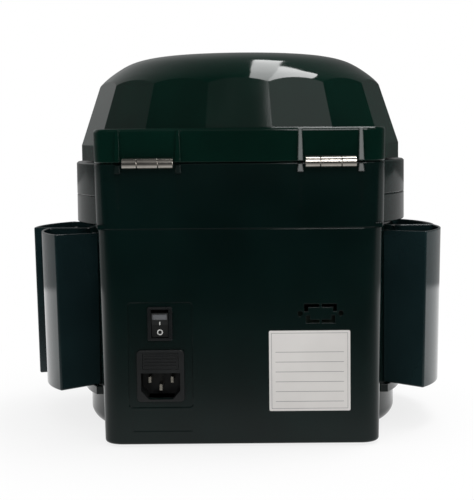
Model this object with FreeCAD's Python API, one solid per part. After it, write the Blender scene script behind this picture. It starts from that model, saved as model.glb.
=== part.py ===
import FreeCAD, Part
import math
import os

V = FreeCAD.Vector

# Coin sorting machine. Millimetres, +Z up, the front faces -Y and the flat rear panel faces +Y.
# All pieces are drawn about the drum's axis and shifted at the end to the middle of the outline.

# Heights
FOOT_H = 1.5
BASE_Z0 = 2.0
BASE_Z1 = 5.0
CUP_BOTTOM = 26.3
CUP_TOP = 130.2
SPLIT_Z = 136.5
BAND_Z = 155.0
BODY_TOP = 176.9
HINGE_Z = 177.25
LID_Z = 177.6
LID_BAND_Z = 188.0
FLANGE_TOP = 198.5

# Drum and ring
DRUM_R = 105.0
DRUM_WALL = 2.5
DRUM_EDGE_R = 8.0
RING_R = 112.4
RING_WALL = 2.4
BEVEL = 0.5
LEDGE_R = 109.0
LEDGE_TOP = 28.0
COLLAR_Z = 94.0

# Rear column: half widths at the bottom and the taper of its sides
BACK_Y = 107.0
COLUMN_HALF_LOW = 86.5
COLUMN_HALF_HIGH = 89.7
COLUMN_TAPER = 0.0170
COLUMN_CORNER = 12.0
COLUMN_WALL = 2.5
SEAM_R = 0.45

# Coin cups: a fan of eight, numbered from the rear on the +X side round the front
CUP_COUNT = 8
CUP_PITCH = 29.2
CUP_R_IN = 105.4
CUP_R_TOP = 137.5
CUP_BEND = 89.0
CUP_DRAFT = 1.05
CUP_RISE = 0.075
CUP_WALL = 1.8
CUP_GAP = 0.8
CUP_CORNER = 1.2
CUP_PULLED = 11.0
TONGUE_HALF = 12.0
TONGUE_Z0 = 31.0
TONGUE_Z1 = 34.0
TONGUE_R = 83.4

# Lid
FACETS = 16
LID_R = 109.0
LID_SLOPE = 0.338
LID_WALL = 2.3
DOME = [(0, 249.5), (31, 248.4), (54, 246.9), (65, 245.1), (74.5, 242.2), (84, 236.9), (92.2, 230.6),
        (94.9, 227.9), (100, 221), (106, 209), (112, 190)]

# Hinges
HINGE_X = 56.2
HINGE_Y = BACK_Y + 3.6
HINGE_HALF = 15.5
HINGE_MIDDLE = 6.5
BARREL_R = 3.4
PIN_R = 1.25
LEAF_T = 0.85
LEAF_Y0 = 97.5

# Sorting works
COINS = [16.25, 18.75, 19.75, 21.25, 22.25, 23.25, 24.25, 25.75]
COIN_R = 78.0
PLATE_Z0 = 121.0
PLATE_Z1 = 123.0
DISC_Z0 = 123.4
DISC_Z1 = 126.4
DISC_R = 97.0
POCKETS = 12
POCKET_R = 13.8
FLOOR_Z0 = 127.0
FLOOR_Z1 = 129.2
FLOOR_LIP = 127.8
BOWL_R = 103.9
BOWL_WALL = 2.2
CHUTE_Z = 87.5
SHAFT_R = 4.0
BEARING_R = 11.0
GEAR_TEETH = 54
PINION_TEETH = 18
GEAR_Z0 = 78.5
GEAR_Z1 = 86.5
MOTOR_X = (GEAR_TEETH + PINION_TEETH) / 2.0

# Rear panel fittings
INLET_X = 50.2
INLET_Z = 45.3
SWITCH_Z = 77.85
PAD_DEPTH = 0.6
RECESS_X = (31.0, 68.0)
RECESS_Z = (10.0, 23.5)
RECESS_DEPTH = 0.25
KNOCKOUT_X = -49.5
KNOCKOUT_Z = 83.4
LABEL_X = -42.6
LABEL_Z = 47.6
LABEL_SIZE = 50.5

# Front console: lower and upper edge of its tilted face
CONSOLE_HALF = 62.0
CONSOLE_WALL = 2.2
FACE_LOW = (-134.0, 145.0)
FACE_HIGH = (-124.0, 176.5)

CUP_ANGLES = [CUP_PITCH * (3.5 - i) for i in range(CUP_COUNT)]


def box(x0, x1, y0, y1, z0, z1):
    return Part.makeBox(x1 - x0, y1 - y0, z1 - z0, V(x0, y0, z0))


def cyl(r, z0, z1, x=0.0, y=0.0):
    return Part.makeCylinder(r, z1 - z0, V(x, y, z0))


def ring(r_out, r_in, z0, z1):
    return cyl(r_out, z0, z1).cut(cyl(r_in, z0 - 1, z1 + 1))


def bar(r, x0, x1, y, z):
    return Part.makeCylinder(r, x1 - x0, V(x0, y, z), V(1, 0, 0))


def post(r, y0, y1, x, z):
    return Part.makeCylinder(r, y1 - y0, V(x, y0, z), V(0, 1, 0))


def prism(points, reach):
    """Flat polygon pushed along the vector reach."""
    return Part.Face(Part.makePolygon(points + [points[0]])).extrude(reach)


def slab(profile, x0, x1):
    """Side profile of (y, z) points, as wide as x0 to x1."""
    return prism([V(x0, y, z) for y, z in profile], V(x1 - x0, 0, 0))


def lathe(profile):
    """Closed profile of (r, z) points turned about the drum's axis."""
    points = [V(r, 0, z) for r, z in profile]
    return Part.Face(Part.makePolygon(points + [points[0]])).revolve(V(0, 0, 0), V(0, 0, 1), 360)


def stack(loops):
    """Solid with flat sides between loops of equal point count, from the lowest to the highest."""
    faces = [Part.Face(Part.makePolygon(loops[0] + [loops[0][0]]))]
    faces.append(Part.Face(Part.makePolygon(loops[-1] + [loops[-1][0]])))
    for low, high in zip(loops, loops[1:]):
        for i in range(len(low)):
            j = (i + 1) % len(low)
            faces.append(Part.Face(Part.makePolygon([low[i], low[j], high[j], high[i], low[i]])))
    return Part.Solid(Part.Shell(faces))


def turned(shape, angle):
    """Copy of a piece drawn at the front, carried round the drum's axis."""
    copy = shape.copy()
    copy.rotate(V(0, 0, 0), V(0, 0, 1), angle)
    return copy


def around(r, angle):
    """Plan position at radius r, with the angle counted from the front towards +X."""
    a = math.radians(angle)
    return r * math.sin(a), -r * math.cos(a)


def fused(first, *others):
    return first.fuse(list(others)).removeSplitter()


def rounded(shape, r, keep):
    """Fillet of the edges for which keep(edge) holds."""
    return shape.makeFillet(r, [e for e in shape.Edges if keep(e)])


def column(z0, z1, y0, y1, half, r):
    """Block with tapered sides and two round rear corners. half is the half width at z."""
    profile = [V(-half(z0), y0, z0), V(half(z0), y0, z0), V(half(z1), y0, z1), V(-half(z1), y0, z1)]
    block = prism(profile, V(0, y1 - y0, 0))
    rear = [e for e in block.Edges
            if all(abs(v.Y - y1) < 0.01 for v in e.Vertexes) and abs(e.Vertexes[0].Z - e.Vertexes[1].Z) > 1]
    return block.makeFillet(r, rear)


def low_half(inset):
    return lambda z: COLUMN_HALF_LOW - inset + COLUMN_TAPER * (z - FOOT_H)


def high_half(inset):
    return lambda z: COLUMN_HALF_HIGH - inset + COLUMN_TAPER * (z - SPLIT_Z)


# The outline's middle, from the pulled cup, the rearmost and front cups and the hinge barrels
bend_r = CUP_R_TOP - CUP_BEND
X_MAX = (bend_r + CUP_PULLED) * math.sin(math.radians(CUP_ANGLES[1])) + CUP_BEND
X_MIN = bend_r * math.sin(math.radians(CUP_ANGLES[-1])) - CUP_BEND
Y_MIN = -bend_r * math.cos(math.radians(CUP_ANGLES[3])) - CUP_BEND
Y_MAX = HINGE_Y + BARREL_R
SHIFT = V(-(X_MIN + X_MAX) / 2, -(Y_MIN + Y_MAX) / 2, 0)

os.makedirs("parts", exist_ok=True)


def emit(name, *shapes):
    """Write one node: a single solid, or a group of separate solids."""
    solids = []
    for shape in shapes:
        solids.extend(shape.Solids)
    node = solids[0].copy() if len(solids) == 1 else Part.makeCompound(solids)
    node.translate(SHIFT)
    node.exportStep("parts/%s.step" % name)
    print(name, len(solids), round(node.Volume, 1), node.isValid())


# Base plate with its screws and feet
low_angles = [40, -40, 105, -105]
low_screws = [around(90.0, a) for a in low_angles] + [(72.0, 90.0), (-72.0, 90.0)]
high_screws = [(78.0, 91.0), (-78.0, 91.0)]


def case_screw(x, y, z_head, up):
    """Pan head and shank. up is the way the shank points."""
    head = Part.makeCylinder(2.9, 1.8, V(x, y, z_head), V(0, 0, up))
    shank = Part.makeCylinder(1.4, 11.8, V(x, y, z_head), V(0, 0, up))
    return fused(head, shank)


screws = [case_screw(x, y, 2.2, 1) for x, y in low_screws]
screws += [case_screw(x, y, 141.3, -1) for x, y in high_screws]
emit("case_screws", *screws)

plate = fused(cyl(94.2, BASE_Z0, BASE_Z1),
              column(BASE_Z0, BASE_Z1, 50.3, BACK_Y - COLUMN_WALL - 0.3, lambda z: 83.6, 9.2))
for x, y in low_screws:
    plate = plate.cut(cyl(3.1, BASE_Z0 - 1, 4.0, x, y))
    plate = plate.cut(cyl(1.6, BASE_Z0 - 1, BASE_Z1 + 1, x, y))
for i in range(6):
    plate = plate.cut(box(20 + 6 * i, 23 + 6 * i, 55, 85, 0, 10))
emit("base_plate", plate)
emit("rubber_feet", *[cyl(7.0, 0, BASE_Z0, x, y) for x, y in
                      ((55, -60), (-55, -60), (74, 76), (-74, 76))])

# Drum housing: the round wall behind the cups, open at the rear towards the column. Its upper part,
# the exit collar, has one window for each cup.
edge_mid = DRUM_EDGE_R * (1 - math.sqrt(0.5))
wall = Part.Wire([
    Part.LineSegment(V(94.5, 0, FOOT_H), V(DRUM_R - DRUM_EDGE_R, 0, FOOT_H)).toShape(),
    Part.Arc(V(DRUM_R - DRUM_EDGE_R, 0, FOOT_H), V(DRUM_R - edge_mid, 0, FOOT_H + edge_mid),
             V(DRUM_R, 0, FOOT_H + DRUM_EDGE_R)).toShape(),
    Part.LineSegment(V(DRUM_R, 0, FOOT_H + DRUM_EDGE_R), V(DRUM_R, 0, SPLIT_Z)).toShape(),
    Part.LineSegment(V(DRUM_R, 0, SPLIT_Z), V(DRUM_R - DRUM_WALL, 0, SPLIT_Z)).toShape(),
    Part.LineSegment(V(DRUM_R - DRUM_WALL, 0, SPLIT_Z), V(DRUM_R - DRUM_WALL, 0, 9.5)).toShape(),
    Part.LineSegment(V(DRUM_R - DRUM_WALL, 0, 9.5), V(94.5, 0, 9.5)).toShape(),
    Part.LineSegment(V(94.5, 0, 9.5), V(94.5, 0, FOOT_H)).toShape()])
drum = Part.Face(wall).revolve(V(0, 0, 0), V(0, 0, 1), 360)
ledge = ring(LEDGE_R, DRUM_R - 1, 22.8, LEDGE_TOP).cut(box(-150, 150, 50, 150, 0, 50))
shelf = ring(DRUM_R - 1, 97, 84, CHUTE_Z)
drum = fused(drum, ledge, shelf, *[cyl(4.2, BASE_Z1, 16, x, y) for x, y in low_screws[:4]])
drum = fused(drum, *[turned(box(-1.2, 1.2, -103.5, -91, BASE_Z1, 14), a) for a in low_angles])
for x, y in low_screws[:4]:
    drum = drum.cut(cyl(1.4, 0, 14.0, x, y))
for a in CUP_ANGLES:
    drum = drum.cut(turned(box(-17, 17, -115, -90, 96, 119), a))
    drum = drum.cut(turned(box(-TONGUE_HALF - 0.3, TONGUE_HALF + 0.3, -115, -90,
                               TONGUE_Z0 - 0.4, TONGUE_Z1 + 0.4), a))
drum = drum.cut(box(-84, 84, 50, 120, 0, 140))
above = box(-150, 150, -150, 150, COLLAR_Z, 200)
emit("drum_housing", drum.cut(above))
emit("exit_collar", drum.common(above))

# Rear housing: the lower part of the column, with the openings in its flat back
rear = column(FOOT_H, SPLIT_Z, 45, BACK_Y, low_half(0), COLUMN_CORNER)
rear = rounded(rear, 2.0, lambda e: all(abs(v.Z - FOOT_H) < 0.01 and v.Y > 46 for v in e.Vertexes))
rear = rounded(rear, SEAM_R, lambda e: all(abs(v.Z - SPLIT_Z) < 0.01 for v in e.Vertexes)
               and max(v.Y for v in e.Vertexes) > 46)
rear = rear.cut(column(0, SPLIT_Z + 1, 40, BACK_Y - COLUMN_WALL, low_half(COLUMN_WALL), 9.5))
rear = rear.cut(cyl(DRUM_R, 0, 140))
rear = rear.cut(box(45, 200, 0, 50, 0, 140)).cut(box(-200, -45, 0, 50, 0, 140))
for x, y in low_screws[4:]:
    rear = fused(rear, cyl(4.2, BASE_Z1, 16, x, y), box(x - 1.2, x + 1.2, y, 105, BASE_Z1, 14))
    rear = rear.cut(cyl(1.4, 0, 14.0, x, y))
for x, y in high_screws:
    rear = fused(rear, cyl(4.2, 118, SPLIT_Z, x, y), box(x - 1.2, x + 1.2, y, 105, 118, SPLIT_Z - 4))
    rear = rear.cut(cyl(1.4, 129.5, 140, x, y))
pad = box(INLET_X - 20, INLET_X + 20, BACK_Y - PAD_DEPTH, BACK_Y + 2, 25, 91)
rear = rear.cut(rounded(pad, 2.0, lambda e: abs(e.Vertexes[0].Y - e.Vertexes[1].Y) > 1))
rear = rear.cut(box(*RECESS_X, BACK_Y - RECESS_DEPTH, BACK_Y + 2, *RECESS_Z))
rear = rear.cut(box(INLET_X - 13.8, INLET_X + 13.8, 100, 110, INLET_Z - 14.3, INLET_Z + 14.3))
rear = rear.cut(box(INLET_X - 6.6, INLET_X + 6.6, 100, 110, SWITCH_Z - 9.6, SWITCH_Z + 9.6))
for side in (-1, 1):
    x = KNOCKOUT_X + side * 12.6
    rear = rear.cut(post(1.6, 100, 110, x, KNOCKOUT_Z))
    for level, reach, width in ((1, 5.9, 10.1), (-1, 5.8, 8.9)):
        outer = KNOCKOUT_X + side * width
        z = KNOCKOUT_Z + level * reach
        x0, x1 = sorted((KNOCKOUT_X + side * 0.75, outer))
        z0, z1 = sorted((z, z - level * 1.9))
        rear = rear.cut(box(x0, x1, 100, 110, z0, z1))
        x0, x1 = sorted((outer, outer - side * 2.3))
        z0, z1 = sorted((z, z - level * 4.6))
        rear = rear.cut(box(x0, x1, 100, 110, z0, z1))
emit("rear_housing", rear)
label = box(LABEL_X - LABEL_SIZE / 2, LABEL_X + LABEL_SIZE / 2, BACK_Y, BACK_Y + 0.25,
            LABEL_Z - LABEL_SIZE / 2, LABEL_Z + LABEL_SIZE / 2)
emit("rating_label", rounded(label, 1.0, lambda e: abs(e.Vertexes[0].Y - e.Vertexes[1].Y) > 0.1))


# Hinges: nickel butt hinges whose leaves lie in the seam between lid and body
def hinge_screw(x, up):
    """Countersunk screw whose flat head is flush with the leaf's seam side."""
    z = HINGE_Z + up * 0.05
    head = Part.makeCone(2.4, 1.25, 1.15, V(x, 101.6, z), V(0, 0, up))
    shank = Part.makeCylinder(1.25, 7.5, V(x, 101.6, z + up * 1.15), V(0, 0, up))
    return fused(head, shank)


body_leaves, lid_leaves, pins, body_leaf_screws, lid_leaf_screws = [], [], [], [], []
for c in (HINGE_X, -HINGE_X):
    spans_body = [(c - HINGE_HALF, c - HINGE_MIDDLE - 0.3), (c + HINGE_MIDDLE + 0.3, c + HINGE_HALF)]
    spans_lid = [(c - HINGE_MIDDLE + 0.3, c + HINGE_MIDDLE - 0.3)]
    for spans, up, bore, leaves, group in ((spans_body, -1, PIN_R, body_leaves, body_leaf_screws),
                                           (spans_lid, 1, PIN_R + 0.05, lid_leaves, lid_leaf_screws)):
        z0, z1 = sorted((HINGE_Z + up * 0.05, HINGE_Z + up * (0.05 + LEAF_T)))
        leaf = box(c - HINGE_HALF, c + HINGE_HALF, LEAF_Y0, HINGE_Y - BARREL_R - 0.3, z0, z1)
        for x0, x1 in spans:
            leaf = fused(leaf, box(x0, x1, LEAF_Y0, HINGE_Y, z0, z1), bar(BARREL_R, x0, x1, HINGE_Y, HINGE_Z))
        leaf = leaf.cut(bar(bore, c - 20, c + 20, HINGE_Y, HINGE_Z))
        for x in (c - 9.5, c + 9.5):
            screw = hinge_screw(x, up)
            leaf = leaf.cut(screw)
            group.append(screw)
        leaves.append(leaf)
    pins.append(bar(PIN_R, c - HINGE_HALF - 0.2, c + HINGE_HALF + 0.2, HINGE_Y, HINGE_Z))
emit("body_hinge_leaves", *body_leaves)
emit("lid_hinge_leaves", *lid_leaves)
emit("hinge_pins", *pins)
emit("body_hinge_screws", *body_leaf_screws)
emit("lid_hinge_screws", *lid_leaf_screws)


def gusset(x, low, high):
    """Rib beside a hinge between two levels, each given as height, half width and reach past the panel."""
    loops = []
    for z, half, reach in (low, high):
        loops.append([V(x - half, 106.0, z), V(x + half, 106.0, z),
                      V(x + half, BACK_Y + reach, z), V(x - half, BACK_Y + reach, z)])
    return stack(loops)


GUSSETS = [s * (HINGE_X + d) for s in (1, -1) for d in (-18.7, 18.7)]

# Upper housing: lower half of the ring and the top of the column, in one moulding
upper = column(SPLIT_Z, BODY_TOP, 60, BACK_Y, high_half(0), COLUMN_CORNER)
upper = rounded(upper, 0.6, lambda e: all(abs(v.Z - BODY_TOP) < 0.01 for v in e.Vertexes)
                and max(v.Y for v in e.Vertexes) > 61)
upper = rounded(upper, SEAM_R, lambda e: all(abs(v.Z - SPLIT_Z) < 0.01 for v in e.Vertexes)
                and max(v.Y for v in e.Vertexes) > 61)
upper = upper.cut(column(SPLIT_Z - 1, BODY_TOP - 3, 50, BACK_Y - COLUMN_WALL, high_half(COLUMN_WALL), 9.5))
upper = upper.cut(cyl(BOWL_R + 0.2, 140, 180))
band = lathe([(RING_R - RING_WALL, SPLIT_Z), (RING_R - BEVEL, SPLIT_Z), (RING_R, SPLIT_Z + BEVEL),
              (RING_R, BAND_Z - BEVEL), (RING_R - BEVEL, BAND_Z), (RING_R - RING_WALL, BAND_Z)])
web = ring(RING_R - 1, 102.0, SPLIT_Z, SPLIT_Z + 2.5)
band = fused(band, web).cut(box(-89, 89, 60, 130, 0, 200))
band = band.cut(box(-high_half(COLUMN_WALL)(SPLIT_Z), high_half(COLUMN_WALL)(SPLIT_Z), 52, 130, 0, 200))
upper = fused(upper, band)
for x, y in high_screws:
    floor = box(min(x * 0.86, x * 1.13), max(x * 0.86, x * 1.13), y - 6, 105.5, SPLIT_Z, SPLIT_Z + 3)
    upper = fused(upper, floor).cut(cyl(1.6, 100, 160, x, y))
for c in (HINGE_X, -HINGE_X):
    upper = upper.cut(box(c - HINGE_HALF - 0.4, c + HINGE_HALF + 0.4, LEAF_Y0 - 0.4, 120,
                          HINGE_Z - 0.05 - LEAF_T, 180))
    for x in (c - 9.5, c + 9.5):
        upper = fused(upper, box(x - 3.5, x + 3.5, 98.2, 105.5, 166.5, BODY_TOP - 2))
for screw in body_leaf_screws:
    upper = upper.cut(screw)
upper = fused(upper, *[gusset(x, (150.0, 0.5, 0.25), (172.0, 0.6, 0.4)) for x in GUSSETS])
upper = fused(upper, *[gusset(x, (171.2, 2.0, 2.2), (HINGE_Z - 1.0, 1.3, 0.6)) for x in GUSSETS])
emit("upper_housing", upper)

# Hopper bowl: funnel over the feed disc, with the upper half of the ring as its rim and a floor
# plate that lies on the funnel's lip
funnel = lathe([(BOWL_R - BOWL_WALL, BODY_TOP), (BOWL_R, BODY_TOP), (BOWL_R, 167), (96.2, FLOOR_Z0),
                (91, FLOOR_Z0), (91, FLOOR_LIP), (94, FLOOR_LIP), (94, FLOOR_Z1), (BOWL_R - BOWL_WALL, 168)])
floor_plate = ring(94.0, 20.0, FLOOR_LIP, FLOOR_Z1)
rim = lathe([(BOWL_R - 1, BODY_TOP), (RING_R - 1, BODY_TOP), (RING_R, BODY_TOP - 1), (RING_R, BAND_Z + BEVEL),
             (RING_R - BEVEL, BAND_Z), (RING_R - RING_WALL, BAND_Z),
             (RING_R - RING_WALL, BODY_TOP - 2.5), (BOWL_R - 1, BODY_TOP - 2.5)])
rim = rim.cut(cyl(BOWL_R - 0.5, 150, 180))
rim = rim.cut(column(SPLIT_Z, BODY_TOP + 2, 59.9, 130, high_half(-0.1), 5))
bowl = fused(funnel, rim)
feed = ring(94.0, 58.0, FLOOR_Z0 - 1, FLOOR_Z1 + 1)
feed = feed.common(prism([V(0, 0, 120), V(130, 75, 120), V(130, 150, 120), V(-130, 150, 120),
                          V(-130, 75, 120)], V(0, 0, 20)))
bowl = bowl.cut(feed)
bumper_places = [around(106.0, a) for a in (25, -25, 70, -70)]
bumpers = [cyl(2.5, BODY_TOP - 1.0, LID_Z - 0.03, x, y) for x, y in bumper_places]
for bumper in bumpers:
    bowl = bowl.cut(bumper)
emit("hopper_bowl", bowl)
emit("hopper_floor", floor_plate.cut(feed))
emit("lid_bumpers", *bumpers)

# Coin wiper: rubber flap at the end of the feed opening that lets one coin through at a time
flap = box(60, 92, -1.5, 1.5, DISC_Z1 + 0.4, FLOOR_Z1)
strip = box(58, 94, -8, 1.5, FLOOR_Z1, FLOOR_Z1 + 2)
wiper = turned(fused(flap, strip), 32.2)
emit("coin_wiper", wiper.cut(fused(funnel, floor_plate).cut(feed)))


# Lid: sixteen flat facets under a smooth crown, with a flat flange at the rear
def crown(shrink, drop):
    """Solid of revolution under the dome's curve."""
    curve = Part.BSplineCurve()
    points = [V(r * shrink, 0, z - drop) for r, z in DOME]
    curve.interpolate(Points=points, InitialTangent=V(1, 0, 0), FinalTangent=points[-1] - points[-2])
    top = V(0, 0, DOME[0][1] - drop)
    low = V(DOME[-1][0] * shrink, 0, DOME[-1][1] - drop)
    foot = V(low.x, 0, 170)
    axis = V(0, 0, 170)
    outline = Part.Wire([curve.toShape(), Part.LineSegment(low, foot).toShape(),
                         Part.LineSegment(foot, axis).toShape(), Part.LineSegment(axis, top).toShape()])
    return Part.Face(outline).revolve(V(0, 0, 0), V(0, 0, 1), 360)


def facets(inset, z_low):
    """Upright band and leaning facets, with one facet square to the rear."""
    loops = []
    for z, r in ((z_low, LID_R), (LID_BAND_Z, LID_R), (262.0, LID_R - LID_SLOPE * (262.0 - LID_BAND_Z))):
        turns = [math.radians((i + 0.5) * 360.0 / FACETS) for i in range(FACETS)]
        loops.append([V((r - inset) * math.sin(t), (r - inset) * math.cos(t), z) for t in turns])
    return stack(loops)


flange = column(LID_Z, FLANGE_TOP, 40, BACK_Y, high_half(0), COLUMN_CORNER)
flange = rounded(flange, 2.0, lambda e: all(abs(v.Z - FLANGE_TOP) < 0.01 for v in e.Vertexes)
                 and max(v.Y for v in e.Vertexes) > 41)
flange = rounded(flange, 0.6, lambda e: all(abs(v.Z - LID_Z) < 0.01 for v in e.Vertexes)
                 and max(v.Y for v in e.Vertexes) > 41)
flange_space = column(LID_Z - 2, FLANGE_TOP - LID_WALL, 30, BACK_Y - LID_WALL, high_half(LID_WALL), 9.7)
lid = fused(facets(0, LID_Z).common(crown(1.0, 0)), flange)
lid = lid.cut(facets(LID_WALL, LID_Z - 2).common(crown(0.98, 2.2)))
lid = lid.cut(flange_space)
for c in (HINGE_X, -HINGE_X):
    lid = fused(lid, box(c - 18, c + 18, 96.5, 105.5, LID_Z, LID_Z + 4),
                *[box(x - 3.5, x + 3.5, 98.2, 105.5, LID_Z, 187) for x in (c - 9.5, c + 9.5)])
    lid = lid.cut(box(c - HINGE_HALF - 0.4, c + HINGE_HALF + 0.4, LEAF_Y0 - 0.4, 120,
                      170, HINGE_Z + 0.05 + LEAF_T))
for screw in lid_leaf_screws:
    lid = lid.cut(screw)
lid = fused(lid, *[gusset(x, (HINGE_Z + 0.8, 1.7, 2.8), (FLANGE_TOP - 1.0, 1.2, 0.4)) for x in GUSSETS])
emit("hopper_lid", lid)


# Coin cups: open wedges with a bowed outer wall, that hang on a tongue through the drum's wall
def cup_form(grow, corner, z_floor, z_top):
    """Wedge-shaped block. grow is how far its walls stand inside the cup's outer faces."""
    half = math.radians(CUP_PITCH / 2)
    apex = -(CUP_GAP + grow) / math.sin(half)
    spread = 200 * math.tan(half)
    wedge = prism([V(0, apex, 0), V(spread, apex - 200, 0), V(-spread, apex - 200, 0)], V(0, 0, z_top))
    slope = math.tan(math.radians(CUP_DRAFT))

    def radius(z):
        return CUP_BEND - grow - slope * (CUP_TOP - z)

    def bottom(y):
        return z_floor + CUP_RISE * (CUP_R_TOP + y)

    side_view = slab([(-90, bottom(-90)), (-150, bottom(-150)), (-150, z_top), (-90, z_top)], -60, 60)
    bow = Part.makeCone(radius(0), radius(z_top), z_top, V(0, CUP_BEND - CUP_R_TOP, 0))
    block = bow.common(wedge).common(side_view).cut(cyl(CUP_R_IN + grow, 0, 200))
    return rounded(block, corner, lambda e: max(math.hypot(v.X, v.Y) for v in e.Vertexes) > CUP_R_IN + 12
                   and min(v.Z for v in e.Vertexes) < z_floor + 4)


cup = cup_form(0, CUP_CORNER, CUP_BOTTOM, CUP_TOP)
cup = cup.cut(cup_form(CUP_WALL, CUP_CORNER + 0.8, CUP_BOTTOM + CUP_WALL, CUP_TOP + 5))
cup = rounded(cup, 0.5, lambda e: all(abs(v.Z - CUP_TOP) < 0.01 for v in e.Vertexes))
cup = cup.cut(box(-20, 20, -111, -100, 94, 140))
cup = fused(cup, box(-TONGUE_HALF, TONGUE_HALF, -CUP_R_IN - 1.2, -TONGUE_R, TONGUE_Z0, TONGUE_Z1))
for i, a in enumerate(CUP_ANGLES):
    placed = turned(cup, a)
    if i == 1:
        x, y = around(CUP_PULLED, a)
        placed.translate(V(x, y, 0))
    emit("coin_cup_%d" % (i + 1), placed)


# Sorting plate, chute ring and feed disc
plate = cyl(101.0, PLATE_Z0, PLATE_Z1).cut(cyl(13.0, 100, 140))
for a, coin in zip(CUP_ANGLES, COINS):
    x, y = around(COIN_R, a)
    plate = plate.cut(cyl(coin / 2 + 0.3, 100, 140, x, y))
emit("sorting_plate", plate)

chutes = lathe([(60, CHUTE_Z), (66, CHUTE_Z), (66, 108.3), (98, 96), (98, CHUTE_Z), (101.5, CHUTE_Z),
                (101.5, PLATE_Z0), (60, PLATE_Z0)])
hollow = ring(98, 66, CHUTE_Z - 1, PLATE_Z0 - 3)
chutes = chutes.cut(hollow.common(prism([V(0, 0, 80), V(130, 57, 80), V(130, 150, 80), V(-130, 150, 80),
                                         V(-130, 57, 80)], V(0, 0, 60))))
for a in CUP_ANGLES:
    channel = slab([(-63.5, 112), (-110, 94.1), (-110, 130), (-63.5, 130)], -14.5, 14.5)
    eye = Part.makeCylinder(2.0, 10, V(0, -56, 115.5), V(0, -1, 0))
    chutes = chutes.cut(turned(channel, a)).cut(turned(eye, a))
emit("chute_ring", chutes)

disc = cyl(DISC_R, DISC_Z0, DISC_Z1).cut(cyl(SHAFT_R, 100, 140))
for i in range(POCKETS):
    x, y = around(COIN_R, i * 360.0 / POCKETS)
    disc = disc.cut(cyl(POCKET_R, 100, 140, x, y))
emit("feed_disc", disc)

shaft = fused(cyl(SHAFT_R, 77.5, 134), cyl(12.0, 120.4, DISC_Z0))
emit("drive_shaft", shaft)
cap = lathe([(0, DISC_Z1), (16, DISC_Z1), (16, 129), (7, 139), (4.5, 142), (0, 142)])
fins = [box(-1.5, 1.5, -15.5, 15.5, DISC_Z1, 136), box(-15.5, 15.5, -1.5, 1.5, DISC_Z1, 136)]
emit("disc_cap", fused(cap, *fins).cut(cyl(SHAFT_R, 100, 134)))

housing = lathe([(BEARING_R, 92), (14.5, 92), (14.5, 117), (24, 117), (24, PLATE_Z0), (13, PLATE_Z0),
                 (13, 120), (BEARING_R, 120)])
emit("bearing_housing", housing)
emit("shaft_bearings", *[ring(BEARING_R, SHAFT_R + 0.02, z, z + 7) for z in (92.5, 113.0)])


def gear(teeth, z0, z1, turn):
    """Spur gear of module 1 with slim teeth. turn is the angle of its first tooth from +X."""
    pitch = teeth / 2.0
    points = []
    for i in range(teeth):
        t = math.radians(turn + i * 360.0 / teeth)
        for r, half in ((pitch - 1.2, 1.0), (pitch + 0.9, 0.3), (pitch + 0.9, -0.3), (pitch - 1.2, -1.0)):
            a = t - half / r
            points.append(V(r * math.cos(a), r * math.sin(a), z0))
    return prism(points, V(0, 0, z1 - z0))


wheel = fused(gear(GEAR_TEETH, GEAR_Z0, GEAR_Z1, 0), cyl(10, GEAR_Z1, 91)).cut(cyl(SHAFT_R, 70, 95))
for i in range(6):
    x, y = around(17.5, 60 * i)
    wheel = wheel.cut(cyl(5.0, 70, 95, x, y))
emit("drive_gear", wheel)
pinion = gear(PINION_TEETH, GEAR_Z0, GEAR_Z1, 180.0 + 180.0 / PINION_TEETH)
pinion.translate(V(MOTOR_X, 0, 0))
emit("motor_pinion", fused(pinion, cyl(3.0, 62, 88, MOTOR_X, 0)))
motor = fused(cyl(18.5, 52, 74, MOTOR_X, 0), cyl(15.0, 14, 52, MOTOR_X, 0), cyl(6.0, 74, 77, MOTOR_X, 0),
              cyl(5.0, 12, 14, MOTOR_X, 0), box(MOTOR_X - 10, MOTOR_X - 8.8, -3, 3, 9, 15),
              box(MOTOR_X + 8.8, MOTOR_X + 10, -3, 3, 9, 15))
emit("gear_motor", motor.cut(cyl(3.05, 61, 80, MOTOR_X, 0)))
bracket = rounded(box(-64, 64, -29, 29, 74, 76.5), 6, lambda e: abs(e.Vertexes[0].Z - e.Vertexes[1].Z) > 1)
bracket = bracket.cut(cyl(6.0, 70, 80, MOTOR_X, 0)).cut(cyl(9.0, 70, 80))
posts = [cyl(3.0, 76.5, CHUTE_Z, sx * 58.0, sy * 24.6) for sx in (1, -1) for sy in (1, -1)]
emit("motor_bracket", fused(bracket, *posts))

# Coin sensors on a ring-shaped board under the sorting plate
board = ring(58.0, 28.0, 110, 111.6)
legs = [cyl(2.5, 111.6, PLATE_Z0, *around(42.0, a)) for a in (0, 120, 240)]
emit("sensor_board", fused(board, *legs))
emit("coin_sensors", *[turned(box(-4, 4, -59.5, -52.5, 111.6, 118), a) for a in CUP_ANGLES])

# Mains side: inlet with fuse drawer, switch, power supply and main board
pad_y = BACK_Y - PAD_DEPTH
inlet = box(INLET_X - 14.8, INLET_X + 14.8, pad_y, pad_y + 2.4, INLET_Z - 16.3, INLET_Z + 16.3)
inlet = rounded(inlet, 2.5, lambda e: abs(e.Vertexes[0].Y - e.Vertexes[1].Y) > 1)
inlet = rounded(inlet, 0.8, lambda e: all(abs(v.Y - pad_y - 2.4) < 0.01 for v in e.Vertexes))
inlet = fused(inlet, box(INLET_X - 13.8, INLET_X + 13.8, 84, pad_y, INLET_Z - 14.3, INLET_Z + 14.3))
socket = [(-12.2, 47.1), (12.2, 47.1), (12.2, 36.0), (7.4, 30.5), (-7.4, 30.5), (-12.2, 36.0)]
inlet = inlet.cut(prism([V(INLET_X + x, 91.5, z) for x, z in socket], V(0, 30, 0)))
inlet = inlet.cut(box(INLET_X - 11.2, INLET_X + 11.2, 87.5, 120, 49.4, 59.3))
blades = []
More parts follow.
